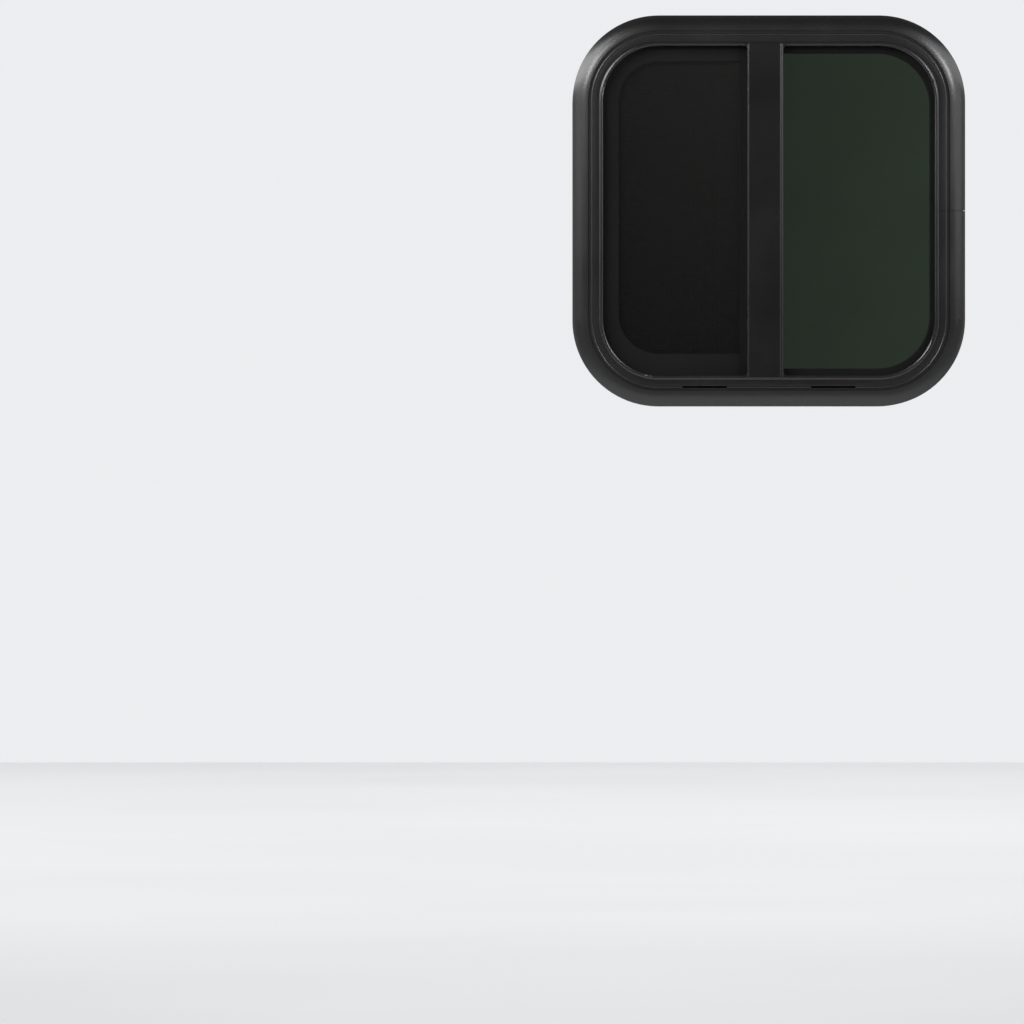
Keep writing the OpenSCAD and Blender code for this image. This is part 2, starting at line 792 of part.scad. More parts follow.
stand() outer_frame();
stand() frame_splice();
stand() weep_filter(-1);  // weep_filter_left
stand() weep_filter(1);  // weep_filter_right
stand() mullion();
stand() mullion_pile();
stand() mullion_glazing_rubber();
stand() fixed_glass();
stand() fixed_glass_rubber();
stand() screen_frame();
stand() screen_stile();
stand() screen_spline();
stand() screen_mesh();
stand() sliding_glass();
stand() sash_stile();
stand() sash_glazing_rubber();
stand() sash_guide_upper();
stand() sash_guide_lower();
stand() glass_run_side();
stand() glass_run_upper();
stand() glass_run_lower();
stand() slide_stop_upper();
stand() slide_stop_lower();
stand() latch_body();
stand() latch_slider();
stand() latch_bolt();
stand() trim_ring();
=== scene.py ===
import math

import bmesh
import bpy
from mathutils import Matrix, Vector


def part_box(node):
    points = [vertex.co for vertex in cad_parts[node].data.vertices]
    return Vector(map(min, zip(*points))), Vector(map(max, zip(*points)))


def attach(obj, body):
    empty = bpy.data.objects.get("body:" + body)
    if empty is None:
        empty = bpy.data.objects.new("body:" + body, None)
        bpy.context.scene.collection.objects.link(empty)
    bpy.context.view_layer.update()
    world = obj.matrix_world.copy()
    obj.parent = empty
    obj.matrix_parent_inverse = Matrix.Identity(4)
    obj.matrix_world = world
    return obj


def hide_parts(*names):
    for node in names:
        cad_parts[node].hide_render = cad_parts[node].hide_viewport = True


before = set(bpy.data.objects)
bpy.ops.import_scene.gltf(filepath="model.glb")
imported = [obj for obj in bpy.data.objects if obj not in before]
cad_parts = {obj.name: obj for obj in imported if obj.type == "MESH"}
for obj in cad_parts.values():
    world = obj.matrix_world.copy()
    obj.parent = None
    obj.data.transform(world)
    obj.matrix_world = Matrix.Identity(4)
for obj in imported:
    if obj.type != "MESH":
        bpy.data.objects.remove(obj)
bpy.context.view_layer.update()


# Outer frame: one aluminium extrusion, bent round four corners and powder coated satin black.
# The coat is a fused skin, with a fine orange peel, sparse paler grains and a sheen that drifts.

def put(tree, kind, inputs=None, **settings):
    """Adds one node to a tree. An input that is a socket is linked, and any other is its value."""
    node = tree.nodes.new(kind)
    for name, value in settings.items():
        setattr(node, name, value)
    for name, value in (inputs or {}).items():
        if isinstance(value, bpy.types.NodeSocket):
            tree.links.new(value, node.inputs[name])
        else:
            node.inputs[name].default_value = value
    return node


def open_group(name, inputs, outputs, kind_of_tree="ShaderNodeTree"):
    """Starts a node group, with its sockets named and typed."""
    group = bpy.data.node_groups.new(name, kind_of_tree)
    for label, kind in inputs.items():
        group.interface.new_socket(label, in_out="INPUT", socket_type="NodeSocket" + kind)
    for label, kind in outputs.items():
        group.interface.new_socket(label, in_out="OUTPUT", socket_type="NodeSocket" + kind)
    return group, put(group, "NodeGroupInput"), put(group, "NodeGroupOutput")


def spread(tree, value, low, high, to_low=0.0, to_high=1.0):
    """Stretches a value from one range to another and holds it there."""
    ranged = put(tree, "ShaderNodeMapRange", {
        "Value": value, "From Min": low, "From Max": high, "To Min": to_low, "To Max": to_high})
    return ranged.outputs["Result"]


def blend_colours(tree, factor, first, second):
    """Mixes two colours by a mask."""
    mixed = put(tree, "ShaderNodeMix", {0: factor, 6: first, 7: second}, data_type="RGBA")
    return mixed.outputs[2]


def start_finish(name, roughness, bump_height):
    """A new material with its shader, and a bump that waits for a height."""
    material = bpy.data.materials.new(name)
    material.use_nodes = True
    tree = material.node_tree
    shader = tree.nodes["Principled BSDF"]
    shader.inputs["Roughness"].default_value = roughness
    bump = put(tree, "ShaderNodeBump", {"Strength": 0.5, "Distance": bump_height})
    tree.links.new(bump.outputs["Normal"], shader.inputs["Normal"])
    return material, tree, shader, bump


coat_grain, given, made = open_group(
    "coat_grain",
    {"Colour": "Color", "Fleck": "Color", "Peel": "Float", "Grain": "Float", "Sheen": "Float"},
    {"Colour": "Color", "Roughness": "Float", "Height": "Float"})
place = put(coat_grain, "ShaderNodeTexCoord").outputs["Object"]
peel = put(coat_grain, "ShaderNodeTexNoise", {
    "Vector": place, "Scale": given.outputs["Peel"], "Detail": 1.0})
grain = put(coat_grain, "ShaderNodeTexNoise", {
    "Vector": place, "Scale": given.outputs["Grain"], "Detail": 2.0})
drift = put(coat_grain, "ShaderNodeTexNoise", {"Vector": place, "Scale": 11.0, "Detail": 3.0})
fleck = spread(coat_grain, grain.outputs["Fac"], 0.58, 0.78, 0.0, 0.8)
tinted = blend_colours(coat_grain, fleck, given.outputs["Colour"], given.outputs["Fleck"])
uneven = put(coat_grain, "ShaderNodeMath", {
    0: given.outputs["Sheen"], 1: spread(coat_grain, drift.outputs["Fac"], 0.3, 0.7, 0.9, 1.12)},
    operation="MULTIPLY")
height = put(coat_grain, "ShaderNodeMath", {
    0: grain.outputs["Fac"], 1: 0.35, 2: peel.outputs["Fac"]}, operation="MULTIPLY_ADD")
coat_grain.links.new(tinted, made.inputs["Colour"])
coat_grain.links.new(uneven.outputs[0], made.inputs["Roughness"])
coat_grain.links.new(height.outputs[0], made.inputs["Height"])


def powder_coat(name, colour, fleck, sheen=0.25, peel=560.0, grain=2300.0):
    """Satin powder coat over aluminium."""
    material, tree, shader, bump = start_finish(name, sheen, 0.00002)
    coat = put(tree, "ShaderNodeGroup", {
        "Colour": colour, "Fleck": fleck, "Peel": peel, "Grain": grain, "Sheen": sheen},
        node_tree=coat_grain)
    tree.links.new(coat.outputs["Colour"], shader.inputs["Base Color"])
    tree.links.new(coat.outputs["Roughness"], shader.inputs["Roughness"])
    tree.links.new(coat.outputs["Height"], bump.inputs["Height"])
    return material, tree, shader, bump, coat


def dress(material, *names):
    """Gives CAD nodes their real finish in place of the plain one."""
    for name in names:
        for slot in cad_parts[name].material_slots:
            slot.material = material


frame_coat = powder_coat("frame_coat", (0.0070, 0.0070, 0.0072, 1), (0.019, 0.019, 0.0198, 1))[0]
dress(frame_coat, "outer_frame")


# Splice: a strip of mill aluminium on the inner track's floor, across the frame's butt joint.
# Four domed rivets hold it. Both keep the fine lines that the rolling and drawing left.

drawn_lines, given, made = open_group(
    "drawn_lines", {"Squeeze": "Vector"}, {"Lines": "Float", "Wander": "Float"})
place = put(drawn_lines, "ShaderNodeTexCoord").outputs["Object"]
squeezed = put(drawn_lines, "ShaderNodeVectorMath", {
    0: place, 1: given.outputs["Squeeze"]}, operation="MULTIPLY")
fine = put(drawn_lines, "ShaderNodeTexNoise", {
    "Vector": squeezed.outputs[0], "Scale": 1.0, "Detail": 4.0, "Roughness": 0.65})
broad = put(drawn_lines, "ShaderNodeTexNoise", {
    "Vector": squeezed.outputs[0], "Scale": 0.06, "Detail": 1.0})
drawn_lines.links.new(fine.outputs["Fac"], made.inputs["Lines"])
drawn_lines.links.new(broad.outputs["Fac"], made.inputs["Wander"])


def bare_metal(name, dull, bright, roughness, squeeze):
    """Unpainted metal with drawn lines."""
    material, tree, shader, bump = start_finish(name, roughness, 0.00002)
    shader.inputs["Metallic"].default_value = 1.0
    lines = put(tree, "ShaderNodeGroup", {"Squeeze": squeeze}, node_tree=drawn_lines)
    colour = blend_colours(tree, spread(tree, lines.outputs["Wander"], 0.35, 0.65), dull, bright)
    rough = spread(tree, lines.outputs["Lines"], 0.3, 0.7, roughness * 0.75, roughness * 1.3)
    tree.links.new(colour, shader.inputs["Base Color"])
    tree.links.new(rough, shader.inputs["Roughness"])
    tree.links.new(lines.outputs["Lines"], bump.inputs["Height"])
    return material


mill_aluminium = bare_metal(
    "mill_aluminium", (0.50, 0.51, 0.52, 1), (0.64, 0.65, 0.66, 1), 0.38, (900.0, 1500.0, 14.0))
rivet_aluminium = bare_metal(
    "rivet_aluminium", (0.56, 0.57, 0.58, 1), (0.70, 0.71, 0.72, 1), 0.30, (420.0, 420.0, 420.0))
dress(mill_aluminium, "frame_splice")


def turned(name, outline, sides):
    """A closed shape turned about Z from (radius, height) points, with its poles shared."""
    shape = bmesh.new()
    rings = []
    for radius, height in outline:
        if radius == 0:
            rings.append([shape.verts.new((0, 0, height))] * sides)
        else:
            rings.append([shape.verts.new((radius * math.cos(2 * math.pi * i / sides),
                                           radius * math.sin(2 * math.pi * i / sides), height))
                          for i in range(sides)])
    for lower, upper in zip(rings, rings[1:]):
        for i in range(sides):
            j = (i + 1) % sides
            corners = dict.fromkeys((lower[i], lower[j], upper[j], upper[i]))
            shape.faces.new(corners)
    bmesh.ops.recalc_face_normals(shape, faces=shape.faces)
    mesh = bpy.data.meshes.new(name)
    shape.to_mesh(mesh)
    shape.free()
    made_object = bpy.data.objects.new(name, mesh)
    bpy.context.scene.collection.objects.link(made_object)
    return made_object


set_fixings, given, made = open_group(
    "set_fixings",
    {"Marks": "Geometry", "Fixing": "Object", "Turn": "Float", "Seed": "Int",
     "Finish": "Material"},
    {"Fixings": "Geometry"}, "GeometryNodeTree")
facing = put(set_fixings, "GeometryNodeInputNamedAttribute", {"Name": "facing"},
             data_type="FLOAT_VECTOR")
upright = put(set_fixings, "FunctionNodeAlignRotationToVector", {
    "Vector": facing.outputs["Attribute"]}, axis="Z")
chance = put(set_fixings, "FunctionNodeRandomValue", {
    "Max": 1.0, "Seed": given.outputs["Seed"]}, data_type="FLOAT")
angle = put(set_fixings, "ShaderNodeMath", {
    0: chance.outputs[1], 1: given.outputs["Turn"]}, operation="MULTIPLY")
spin = put(set_fixings, "FunctionNodeAxisAngleToRotation", {
    "Axis": (0, 0, 1), "Angle": angle.outputs[0]})
turn = put(set_fixings, "FunctionNodeRotateRotation", {
    "Rotation": upright.outputs[0], "Rotate By": spin.outputs[0]}, rotation_space="LOCAL")
fixing = put(set_fixings, "GeometryNodeObjectInfo", {"Object": given.outputs["Fixing"]})
copies = put(set_fixings, "GeometryNodeInstanceOnPoints", {
    "Points": given.outputs["Marks"], "Instance": fixing.outputs["Geometry"],
    "Rotation": turn.outputs[0]})
solid = put(set_fixings, "GeometryNodeRealizeInstances", {"Geometry": copies.outputs[0]})
finish = put(set_fixings, "GeometryNodeSetMaterial", {
    "Geometry": solid.outputs[0], "Material": given.outputs["Finish"]})
set_fixings.links.new(finish.outputs[0], made.inputs[0])


def settle(piece, name, body="root"):
    """Turns a piece and its modifiers into one plain mesh that rides on the window."""
    graph = bpy.context.evaluated_depsgraph_get()
    mesh = bpy.data.meshes.new_from_object(piece.evaluated_get(graph))
    bpy.data.objects.remove(piece)
    finished = bpy.data.objects.new(name, mesh)
    bpy.context.scene.collection.objects.link(finished)
    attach(finished, body)
    return finished


def with_tree(piece, tree, **inputs):
    """Adds a geometry tree to a piece, with its inputs set by their identifiers."""
    modifier = piece.modifiers.new(tree.name, "NODES")
    modifier.node_group = tree
    for item in tree.interface.items_tree:
        if item.in_out == "INPUT" and item.name in inputs:
            modifier[item.identifier] = inputs[item.name]


def fasten(name, fixing, marks, finish, turn=0.0, seed=1):
    """Puts one fixing at each mark, which is a place and the way that its head faces."""
    mesh = bpy.data.meshes.new(name + "_marks")
    mesh.from_pydata([place for place, way in marks], [], [])
    facing = mesh.attributes.new("facing", "FLOAT_VECTOR", "POINT")
    for value, (place, way) in zip(facing.data, marks):
        value.vector = way
    piece = bpy.data.objects.new(name + "_marks", mesh)
    bpy.context.scene.collection.objects.link(piece)
    with_tree(piece, set_fixings, Fixing=fixing, Turn=turn, Seed=seed, Finish=finish)
    piece = settle(piece, name)
    bpy.data.objects.remove(fixing)


splice_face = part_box("frame_splice")[0].x
rivet = turned("rivet", [(0, 0.0009), (0.0008, 0.00086), (0.0015, 0.0007), (0.0021, 0.0004),
                         (0.0024, 0.00008), (0.0024, -0.0002), (0, -0.0002)], 20)
track_middle = 0.0227
rivet_heights = (-0.024, -0.010, 0.010, 0.024)
splice_marks = [((splice_face, track_middle, up), (-1, 0, 0)) for up in rivet_heights]
fasten("splice_rivets", rivet, splice_marks, rivet_aluminium)


# Weep filters: blocks of open-cell foam pressed in behind the two slots, so rain drains out
# and insects stay out. The cells are open, with thin walls between; painted shade darkens each
# hollow.

def weep_foam():
    """Charcoal polyurethane foam with open cells, their hollows darkened by painted shade."""
    material, tree, shader, bump = start_finish("weep_foam", 0.95, 0.0006)
    place = put(tree, "ShaderNodeTexCoord").outputs["Object"]
    cells = put(tree, "ShaderNodeTexVoronoi", {"Vector": place, "Scale": 900.0},
                feature="DISTANCE_TO_EDGE")
    walls_and_pore_shade = spread(tree, cells.outputs["Distance"], 0.02, 0.28, 1.0, 0.0)
    # The cell hollows take the near-black colour as painted shade in the pores; the walls keep the
    # foam's charcoal.
    colour = blend_colours(tree, walls_and_pore_shade, (0.004, 0.004, 0.004, 1), (0.035, 0.034, 0.033, 1))
    tree.links.new(colour, shader.inputs["Base Color"])
    tree.links.new(walls_and_pore_shade, bump.inputs["Height"])
    return material


dress(weep_foam(), "weep_filter_left", "weep_filter_right")


# Mullion: a straight extrusion up the middle, with a flat face, a round bead along each edge
# and ends that run over the frame's lip. Under its coat the die left faint lines up its length.

def lined_coat(name, colour, fleck, sheen):
    """The frame's powder coat, with the die's lines just showing through."""
    material, tree, shader, bump, coat = powder_coat(name, colour, fleck, sheen)
    lines = put(tree, "ShaderNodeGroup", {"Squeeze": (700.0, 700.0, 5.0)}, node_tree=drawn_lines)
    both = put(tree, "ShaderNodeMath", {
        0: lines.outputs["Lines"], 1: 0.55, 2: coat.outputs["Height"]}, operation="MULTIPLY_ADD")
    tree.links.new(both.outputs[0], bump.inputs["Height"])
    return material


mullion_coat = lined_coat(
    "mullion_coat", (0.0025, 0.0025, 0.0026, 1), (0.010, 0.010, 0.0104, 1), 0.26)
dress(mullion_coat, "mullion")


# Mullion screws: two low pan heads at each end, through the frame's wall from the wall side
# and into the mullion's screw bosses. Plated steel with a cross recess.

def cut_cross(head, arm, half_width, top, depth):
    """Cuts a tapered cross recess into a screw's head."""
    cutter = bmesh.new()
    rings = []
    for level, size in ((top + 0.0004, 1.0), (top - depth, 0.62)):
        a, w = arm * size, half_width * size
        plan = [(a, w), (w, w), (w, a), (-w, a), (-w, w), (-a, w),
                (-a, -w), (-w, -w), (-w, -a), (w, -a), (w, -w), (a, -w)]
        rings.append([cutter.verts.new((x, y, level)) for x, y in plan])
    cutter.faces.new(rings[0])
    cutter.faces.new(rings[1])
    for i in range(12):
        j = (i + 1) % 12
        cutter.faces.new((rings[0][i], rings[0][j], rings[1][j], rings[1][i]))
    bmesh.ops.recalc_face_normals(cutter, faces=cutter.faces)
    mesh = bpy.data.meshes.new("cross")
    cutter.to_mesh(mesh)
    cutter.free()
    cross = bpy.data.objects.new("cross", mesh)
    bpy.context.scene.collection.objects.link(cross)
    cut = head.modifiers.new("cross", "BOOLEAN")
    cut.operation = "DIFFERENCE"
    cut.solver = "EXACT"
    cut.object = cross
    graph = bpy.context.evaluated_depsgraph_get()
    cut_mesh = bpy.data.meshes.new_from_object(head.evaluated_get(graph))
    head.modifiers.clear()
    head.data = cut_mesh
    bpy.data.objects.remove(cross)


plated_steel = bare_metal(
    "plated_steel", (0.46, 0.47, 0.49, 1), (0.62, 0.62, 0.63, 1), 0.27, (300.0, 300.0, 300.0))
low_screw = turned("low_screw", [
    (0, 0.0012), (0.0016, 0.00117), (0.0026, 0.00098), (0.0032, 0.0006), (0.0034, 0.0002),
    (0.0034, 0.0), (0.0019, 0.0), (0.0019, -0.004), (0, -0.004)], 24)
cut_cross(low_screw, 0.0017, 0.00033, 0.0012, 0.0009)
wall_out = 0.1909
boss_depth = 0.0049
boss_places = (-0.0152, 0.0054)
mullion_marks = [((across, boss_depth, side * wall_out), (0, 0, side))
                 for side in (1, -1) for across in boss_places]
fasten("mullion_screws", low_screw, mullion_marks, plated_steel, 1.5, 4)


# Pile: strips of siliconised wool pile, woven on a backing, that brush the glass. One lies in
# the mullion's back, and the sliding pane's run is lined with it.

def wool_pile():
    """Black pile, all fibre ends."""
    material, tree, shader, bump = start_finish("wool_pile", 0.9, 0.0005)
    shader.inputs["Sheen Weight"].default_value = 0.25
    shader.inputs["Sheen Roughness"].default_value = 0.6
    place = put(tree, "ShaderNodeTexCoord").outputs["Object"]
    fibres = put(tree, "ShaderNodeTexNoise", {
        "Vector": place, "Scale": 3600.0, "Detail": 3.0, "Roughness": 0.7})
    tufts = put(tree, "ShaderNodeTexVoronoi", {"Vector": place, "Scale": 750.0})
    ends = spread(tree, fibres.outputs["Fac"], 0.35, 0.7)
    colour = blend_colours(tree, ends, (0.004, 0.004, 0.004, 1), (0.034, 0.033, 0.032, 1))
    both = put(tree, "ShaderNodeMath", {
        0: tufts.outputs["Distance"], 1: -0.4, 2: fibres.outputs["Fac"]}, operation="MULTIPLY_ADD")
    tree.links.new(colour, shader.inputs["Base Color"])
    tree.links.new(both.outputs[0], bump.inputs["Height"])
    return material


pile_finish = wool_pile()
dress(pile_finish, "mullion_pile", "glass_run_side", "glass_run_upper", "glass_run_lower")


# Fixed pane: 4 mm tempered glass, grey-green through its body. Tempering leaves it very
# slightly wavy, and it carries a little dust.

def tinted_glass(name, tint):
    """Body-tinted safety glass. The tint is what comes through one pane."""
    material, tree, shader, bump = start_finish(name, 0.0, 0.0004)
    shader.inputs["IOR"].default_value = 1.52
    shader.inputs["Transmission Weight"].default_value = 1.0
    bump.inputs["Strength"].default_value = 0.04
    place = put(tree, "ShaderNodeTexCoord").outputs["Object"]
    waves = put(tree, "ShaderNodeTexNoise", {"Vector": place, "Scale": 13.0, "Detail": 1.0})
    dust = put(tree, "ShaderNodeTexNoise", {"Vector": place, "Scale": 900.0, "Detail": 4.0})
    streaks = spread(tree, waves.outputs["Fac"], 0.3, 0.7)
    deeper = tuple(0.94 * part for part in tint[:3]) + (1,)
    colour = blend_colours(tree, streaks, deeper, tint)
    rough = spread(tree, dust.outputs["Fac"], 0.62, 0.85, 0.01, 0.12)
    tree.links.new(colour, shader.inputs["Base Color"])
    tree.links.new(rough, shader.inputs["Roughness"])
    tree.links.new(waves.outputs["Fac"], bump.inputs["Height"])
    return material


dress(tinted_glass("grey_green_glass", (0.0240, 0.0335, 0.0240, 1)), "fixed_glass")


# Rubbers: black EPDM, pushed in round the fixed pane and along the mullion. Fresh rubber has a
# faint grey bloom and a very fine skin.

soft_mottle, given, made = open_group(
    "soft_mottle",
    {"Colour": "Color", "Bloom": "Color", "Patch": "Float", "Pore": "Float"},
    {"Colour": "Color", "Height": "Float", "Mask": "Float"})
place = put(soft_mottle, "ShaderNodeTexCoord").outputs["Object"]
patch = put(soft_mottle, "ShaderNodeTexNoise", {
    "Vector": place, "Scale": given.outputs["Patch"], "Detail": 4.0, "Roughness": 0.6})
pore = put(soft_mottle, "ShaderNodeTexNoise", {
    "Vector": place, "Scale": given.outputs["Pore"], "Detail": 2.0})
mask = spread(soft_mottle, patch.outputs["Fac"], 0.4, 0.72)
colour = blend_colours(soft_mottle, mask, given.outputs["Colour"], given.outputs["Bloom"])
soft_mottle.links.new(colour, made.inputs["Colour"])
soft_mottle.links.new(pore.outputs["Fac"], made.inputs["Height"])
soft_mottle.links.new(mask, made.inputs["Mask"])


def moulded(name, colour, bloom, patch, pore, roughness, bump_height, gloss=0.5):
    """Rubber or plastic with a soft mottle and a fine skin."""
    material, tree, shader, bump = start_finish(name, roughness, bump_height)
    shader.inputs["Specular IOR Level"].default_value = gloss
    skin = put(tree, "ShaderNodeGroup", {
        "Colour": colour, "Bloom": bloom, "Patch": patch, "Pore": pore}, node_tree=soft_mottle)
    rough = spread(tree, skin.outputs["Mask"], 0.0, 1.0, roughness, roughness * 1.2)
    tree.links.new(skin.outputs["Colour"], shader.inputs["Base Color"])
    tree.links.new(rough, shader.inputs["Roughness"])
    tree.links.new(skin.outputs["Height"], bump.inputs["Height"])
    return material


glazing_rubber = moulded(
    "glazing_rubber", (0.003, 0.003, 0.003, 1), (0.006, 0.006, 0.006, 1),
    60.0, 2600.0, 0.7, 0.00005, 0.12)
dress(glazing_rubber, "fixed_glass_rubber", "mullion_glazing_rubber")


# Insect screen: roll-formed rails painted dull black, with a rubber cord pressed into a groove
# to hold the mesh. The thin paint shows the rolled metal's grain.

screen_coat, tree, shader = powder_coat(
    "screen_coat", (0.0035, 0.0035, 0.0036, 1), (0.009, 0.009, 0.009, 1), 0.6, 900.0, 3000.0)[:3]
shader.inputs["Specular IOR Level"].default_value = 0.12
dress(screen_coat, "screen_frame", "screen_stile")
dress(moulded("spline_rubber", (0.004, 0.004, 0.004, 1), (0.012, 0.012, 0.012, 1),
              90.0, 2000.0, 0.72, 0.00006, 0.12), "screen_spline")


# Screen mesh: glass-fibre threads with a black PVC skin, crossing at a set pitch, stretched
# over the screen frame. Each thread is its own strand, cut where the frame's corners turn.

mesh_left, mesh_right = -0.1628, -0.0277
mesh_foot, mesh_head = -0.1553, 0.1618
mesh_corner = 0.045
mesh_back = 0.01684
thread = 0.0003
upright_pitch, level_pitch = 0.00141, 0.00159

lay_threads, given, made = open_group(
    "lay_threads",
    {"Left": "Float", "Right": "Float", "Foot": "Float", "Head": "Float", "Corner": "Float",
     "Thread": "Float", "Pitch Across": "Float", "Pitch Up": "Float", "Back": "Float",
     "Finish": "Material"},
    {"Threads": "Geometry"}, "GeometryNodeTree")


def sum_up(operation, *values):
    """One step of arithmetic in the thread tree."""
    step = put(lay_threads, "ShaderNodeMath", dict(enumerate(values)), operation=operation)
    return step.outputs[0]


def point_at(x, y, z):
    """A place in the thread tree."""
    return put(lay_threads, "ShaderNodeCombineXYZ", {"X": x, "Y": y, "Z": z}).outputs[0]


left, right, foot, head, corner, width, pitch_across, pitch_up, back = [
    given.outputs[i] for i in range(9)]
middle = sum_up("MULTIPLY", sum_up("ADD", foot, head), 0.5)
half = sum_up("MULTIPLY", sum_up("SUBTRACT", head, foot), 0.5)
here = put(lay_threads, "ShaderNodeSeparateXYZ", {
    0: put(lay_threads, "GeometryNodeInputPosition").outputs[0]})
across, up = here.outputs["X"], here.outputs["Z"]
bar = put(lay_threads, "GeometryNodeMeshCube")


def past_corner(distance):
    """How much a thread is short by, this far into the rounded corner."""
    into = sum_up("MINIMUM", sum_up("MAXIMUM", distance, 0.0), corner)
    under = sum_up("SUBTRACT", sum_up("MULTIPLY", corner, corner), sum_up("MULTIPLY", into, into))
    return sum_up("SUBTRACT", corner, sum_up("SQRT", under))


def run_threads(length, pitch, start, step, size):
    """Parallel threads, each scaled to its own length."""
    count = sum_up("FLOOR", sum_up("DIVIDE", length, pitch))
    line = put(lay_threads, "GeometryNodeMeshLine", {
        "Count": count, "Start Location": start, "Offset": step})
    bars = put(lay_threads, "GeometryNodeInstanceOnPoints", {
        "Points": line.outputs[0], "Instance": bar.outputs["Mesh"], "Scale": size})
    return bars.outputs[0]


tall = sum_up("MULTIPLY", 2.0, sum_up(
    "SUBTRACT", half, past_corner(sum_up("SUBTRACT", sum_up("ADD", left, corner), across))))
upright_threads = run_threads(
    sum_up("SUBTRACT", right, left), pitch_across,
    point_at(sum_up("MULTIPLY_ADD", pitch_across, 0.5, left), back, middle),
    point_at(pitch_across, 0.0, 0.0), point_at(width, width, tall))
cut = past_corner(sum_up("SUBTRACT", sum_up("ABSOLUTE", sum_up("SUBTRACT", up, middle)),
                         sum_up("SUBTRACT", half, corner)))
wide = sum_up("SUBTRACT", sum_up("SUBTRACT", right, left), cut)
level_threads = run_threads(
    sum_up("SUBTRACT", head, foot), pitch_up,
    point_at(sum_up("MULTIPLY", sum_up("ADD", left, right), 0.5),
             sum_up("MULTIPLY_ADD", width, 0.4, back), sum_up("MULTIPLY_ADD", pitch_up, 0.5, foot)),
    point_at(0.0, 0.0, pitch_up), point_at(wide, width, width))
joined = put(lay_threads, "GeometryNodeJoinGeometry")
lay_threads.links.new(level_threads, joined.inputs[0])
lay_threads.links.new(upright_threads, joined.inputs[0])
solid = put(lay_threads, "GeometryNodeRealizeInstances", {"Geometry": joined.outputs[0]})
finish = put(lay_threads, "GeometryNodeSetMaterial", {
    "Geometry": solid.outputs[0], "Material": given.outputs["Finish"]})
lay_threads.links.new(finish.outputs[0], made.inputs[0])

thread_skin = moulded("thread_skin", (0.003, 0.003, 0.003, 1), (0.006, 0.006, 0.006, 1),
                      240.0, 3000.0, 0.5, 0.00004, 0.1)
threads = bpy.data.objects.new("thread_marks", bpy.data.meshes.new("thread_marks"))
bpy.context.scene.collection.objects.link(threads)
with_tree(threads, lay_threads, **{
    "Left": mesh_left, "Right": mesh_right, "Foot": mesh_foot, "Head": mesh_head,
    "Corner": mesh_corner, "Thread": thread, "Pitch Across": upright_pitch,
    "Pitch Up": level_pitch, "Back": mesh_back, "Finish": thread_skin})
threads = settle(threads, "screen_threads")
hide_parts("screen_mesh")


# Sash: the sliding pane is the same tinted glass, with an aluminium stile down its free edge,
# a strip of rubber between them and nylon guides at its two ends.

dress(tinted_glass("grey_glass", (0.0175, 0.0190, 0.0170, 1)), "sliding_glass")
dress(mullion_coat, "sash_stile")
dress(glazing_rubber, "sash_glazing_rubber")
guide_nylon = moulded("guide_nylon", (0.010, 0.010, 0.010, 1), (0.016, 0.016, 0.017, 1),
                      35.0, 1700.0, 0.48, 0.00005)
dress(guide_nylon, "sash_guide_upper", "sash_guide_lower")


# Slide stops: moulded rubber blocks at the end of the run, which the guides meet when the
# window is fully open.

dress(moulded("stop_rubber", (0.006, 0.006, 0.006, 1), (0.014, 0.014, 0.014, 1),
              70.0, 1900.0, 0.75, 0.00008), "slide_stop_upper", "slide_stop_lower")


# Latch: a spark-textured nylon body on the stile, with a ribbed slider for a finger and a
# plated steel bolt. Two small pan heads hold the body.

latch_nylon = moulded("latch_nylon", (0.009, 0.009, 0.0095, 1), (0.017, 0.017, 0.018, 1),
                      45.0, 1300.0, 0.5, 0.00012)
slider_nylon = moulded("slider_nylon", (0.014, 0.014, 0.015, 1), (0.024, 0.024, 0.025, 1),
                       45.0, 1500.0, 0.42, 0.00009)
dress(latch_nylon, "latch_body")
dress(slider_nylon, "latch_slider")
dress(plated_steel, "latch_bolt")
latch_low, latch_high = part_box("latch_body")
latch_middle = (latch_low + latch_high) / 2
small_screw = turned("small_screw", [
    (0, 0.0015), (0.0011, 0.00145), (0.0018, 0.0012), (0.0023, 0.0008), (0.0025, 0.0003),
    (0.0025, 0.0), (0.0012, 0.0), (0.0012, -0.003), (0, -0.003)], 20)
cut_cross(small_screw, 0.0013, 0.00026, 0.0015, 0.001)
latch_reach = 0.0238
latch_marks = [((latch_middle.x, latch_high.y, up), (0, 1, 0))
               for up in (-latch_reach, latch_reach)]
fasten("latch_screws", small_screw, latch_marks, plated_steel, 1.5, 9)


# Trim ring: an aluminium strip bent to the frame's outline, which clamps the wall from indoors.
# It is coated like the frame, and sixteen pan-head screws pull it to the frame's screw port.

ring_coat = powder_coat("ring_coat", (0.0085, 0.0085, 0.0088, 1), (0.026, 0.026, 0.027, 1), 0.27)[0]
dress(ring_coat, "trim_ring")
thread_turns = []
for turn_number in range(10):
    below = 0.0012 + 0.0014 * turn_number
    thread_turns += [(0.0015, -below), (0.0019, -below - 0.0005), (0.0015, -below - 0.0009)]
ring_screw = turned("ring_screw", [
    (0, 0.0023), (0.0018, 0.00225), (0.0028, 0.0020), (0.0034, 0.0015), (0.0037, 0.0009),
    (0.0038, 0.0003), (0.0037, 0.0), (0.0019, 0.0), (0.0019, -0.0010)] + thread_turns
    + [(0, -0.0172)], 24)
cut_cross(ring_screw, 0.0021, 0.0004, 0.0023, 0.0015)
ring_face = 0.0356
port_side, port_top = 0.1850, 0.1840
corner_side, corner_top = 0.16523, 0.16423
along = (-0.075, 0.0, 0.075)
ring_places = [(x, z * port_top) for x in along for z in (-1, 1)]
ring_places += [(x * port_side, z) for z in along for x in (-1, 1)]
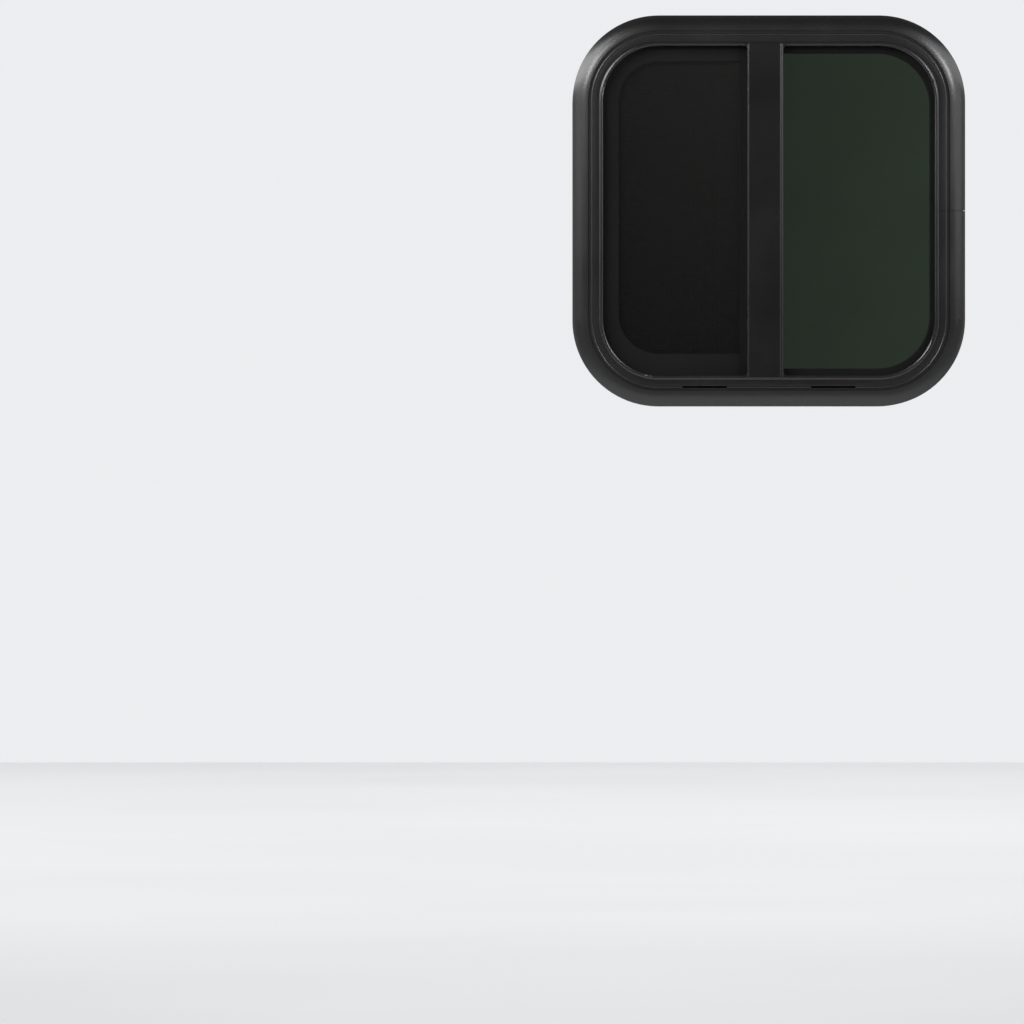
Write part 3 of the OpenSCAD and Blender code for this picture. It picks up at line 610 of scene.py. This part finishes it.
ring_places += [(x * corner_side, z * corner_top) for x in (-1, 1) for z in (-1, 1)]
ring_marks = [((x, ring_face, z), (0, 1, 0)) for x, z in ring_places]
fasten("ring_screws", ring_screw, ring_marks, plated_steel, 3.1, 7)


# Studio: a pale floor and a pale room. A wide bank, a small key, a low fill and a strip stand at
# each side of the window, and a bank hangs over the floor behind it. The camera is straight in
# front, a little low and to the left, as in the photograph.

def studio_floor():
    """Pale matt floor with a faint tooth."""
    material, tree, shader, bump = start_finish("floor_paint", 0.8, 0.0002)
    place = put(tree, "ShaderNodeTexCoord").outputs["Object"]
    tooth = put(tree, "ShaderNodeTexNoise", {"Vector": place, "Scale": 260.0, "Detail": 3.0})
    cloud = put(tree, "ShaderNodeTexNoise", {"Vector": place, "Scale": 0.7, "Detail": 2.0})
    colour = blend_colours(tree, spread(tree, cloud.outputs["Fac"], 0.3, 0.7),
                           (0.80, 0.81, 0.82, 1), (0.84, 0.85, 0.86, 1))
    tree.links.new(colour, shader.inputs["Base Color"])
    tree.links.new(tooth.outputs["Fac"], bump.inputs["Height"])
    mesh = bpy.data.meshes.new("floor")
    reach, level = 14.0, -1.0
    mesh.from_pydata([(-reach, -reach, level), (reach, -reach, level),
                      (reach, reach, level), (-reach, reach, level)], [], [(0, 1, 2, 3)])
    mesh.materials.append(material)
    floor = bpy.data.objects.new("floor", mesh)
    bpy.context.scene.collection.objects.link(floor)


def soft_light(name, place, aim, width, height, watts):
    """A soft box that faces its aim and doesn't show itself."""
    lamp = bpy.data.lights.new(name, "AREA")
    lamp.shape = "RECTANGLE"
    lamp.size = width
    lamp.size_y = height
    lamp.energy = watts
    box = bpy.data.objects.new(name, lamp)
    box.location = place
    box.rotation_euler = (Vector(aim) - Vector(place)).to_track_quat("-Z", "Y").to_euler()
    box.visible_camera = False
    bpy.context.scene.collection.objects.link(box)


def round_window(side, up, away=1.9):
    """A place in front of the window, by its angles to the side and up."""
    side, up = math.radians(side), math.radians(up)
    return (away * math.sin(side) * math.cos(up), -away * math.cos(side) * math.cos(up),
            away * math.sin(up))


def studio_room():
    """Pale to the camera. To the object it is bright behind the window and dark in front."""
    world = bpy.data.worlds.new("studio")
    bpy.context.scene.world = world
    world.use_nodes = True
    tree = world.node_tree
    tree.nodes.clear()
    way = put(tree, "ShaderNodeSeparateXYZ", {
        0: put(tree, "ShaderNodeTexCoord").outputs["Generated"]})
    behind = spread(tree, way.outputs["Y"], -0.5, -0.2, 0.02, 0.68)
    beside = spread(tree, way.outputs["X"], 0.012, 0.052, 0.78, 1.67)
    fading = spread(tree, way.outputs["Z"], 0.018, 0.052, 0.45, 1.25)
    on_right = spread(tree, way.outputs["X"], 0.027, 0.032)
    shade = put(tree, "ShaderNodeMix", {0: on_right, 2: fading, 3: 1.0}).outputs[0]
    tone = put(tree, "ShaderNodeMath", {0: beside, 1: shade}, operation="MULTIPLY").outputs[0]
    straight = spread(tree, way.outputs["Y"], 0.95, 0.99)
    share = put(tree, "ShaderNodeMix", {0: straight, 2: 1.0, 3: tone}).outputs[0]
    glow = put(tree, "ShaderNodeMath", {0: behind, 1: share}, operation="MULTIPLY").outputs[0]
    seen = put(tree, "ShaderNodeBackground", {"Color": (0.84, 0.85, 0.87, 1), "Strength": 1.0})
    felt = put(tree, "ShaderNodeBackground", {"Color": (1, 1, 1, 1), "Strength": glow})
    camera_ray = put(tree, "ShaderNodeLightPath").outputs["Is Camera Ray"]
    both = put(tree, "ShaderNodeMixShader", {0: camera_ray, 1: felt.outputs[0], 2: seen.outputs[0]})
    put(tree, "ShaderNodeOutputWorld", {"Surface": both.outputs[0]})


studio_floor()
studio_room()
for name, place, width, height, watts in (
        ("left_bank", round_window(-51, 25), 1.5, 0.7, 29.0),
        ("right_bank", round_window(51, 25), 1.5, 0.7, 12.6),
        ("left_key", round_window(-23, 17), 0.34, 0.32, 8.2),
        ("right_key", round_window(26, 16), 0.30, 0.30, 7.0),
        ("left_low", round_window(-46, 6), 0.9, 0.4, 1.6),
        ("right_low", round_window(46, 6), 0.9, 0.4, 2.4),
        ("left_side", (-1.75, -0.45, -0.1), 0.7, 1.3, 3.6),
        ("right_side", (1.75, -0.45, -0.1), 0.7, 1.3, 2.8)):
    soft_light(name, place, (0, 0, 0), width, height, watts)
soft_light("floor_bank", (0, 9.0, 3.0), (0, 9.0, 0), 14.0, 13.0, 390.0)
bpy.context.scene.view_settings.view_transform = "Standard"

lens = bpy.data.cameras.new("camera")
lens.lens = 300.0
lens.sensor_width = 36.0
lens.clip_start = 0.1
lens.clip_end = 60.0
camera = bpy.data.objects.new("camera", lens)
camera.location = (-0.2742, -9.110, -0.3216)
camera.rotation_euler = (math.pi / 2, 0, 0)
bpy.context.scene.collection.objects.link(camera)
bpy.context.scene.camera = camera
